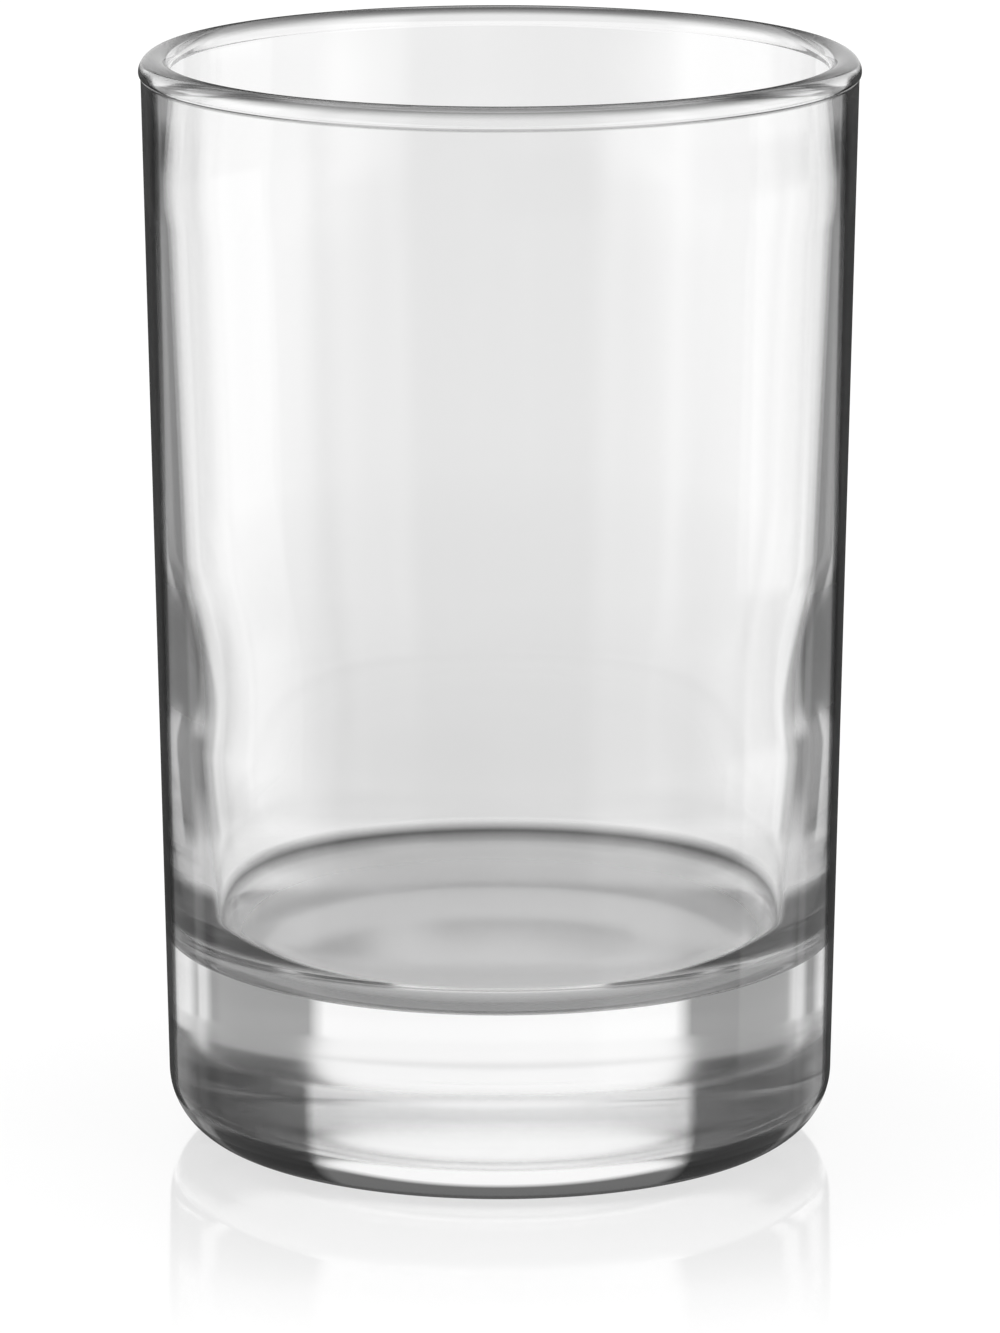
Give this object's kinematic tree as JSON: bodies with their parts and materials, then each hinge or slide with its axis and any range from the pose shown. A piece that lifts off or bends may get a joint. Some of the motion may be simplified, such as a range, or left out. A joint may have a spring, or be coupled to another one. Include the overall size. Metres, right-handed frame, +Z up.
{
  "type": "juice glass",
  "caption": "Clear straight-sided drinking glass with a slight taper, a rounded bead rim and a thick solid base, for juice or water.",
  "frame": {"origin": "centre of the ring the glass stands on, on the table plane", "axes": "+Z up along the glass's axis; the glass is round, so X and Y have no preferred direction"},
  "size_m": [0.062, 0.062, 0.095],
  "materials": {
    "clear_glass": "clear, colourless, fire-polished soda-lime glass"
  },
  "bodies": {
    "root": {"heavy_base": "clear_glass", "side_wall": "clear_glass", "rim_bead": "clear_glass"}
  },
  "joints": []
}
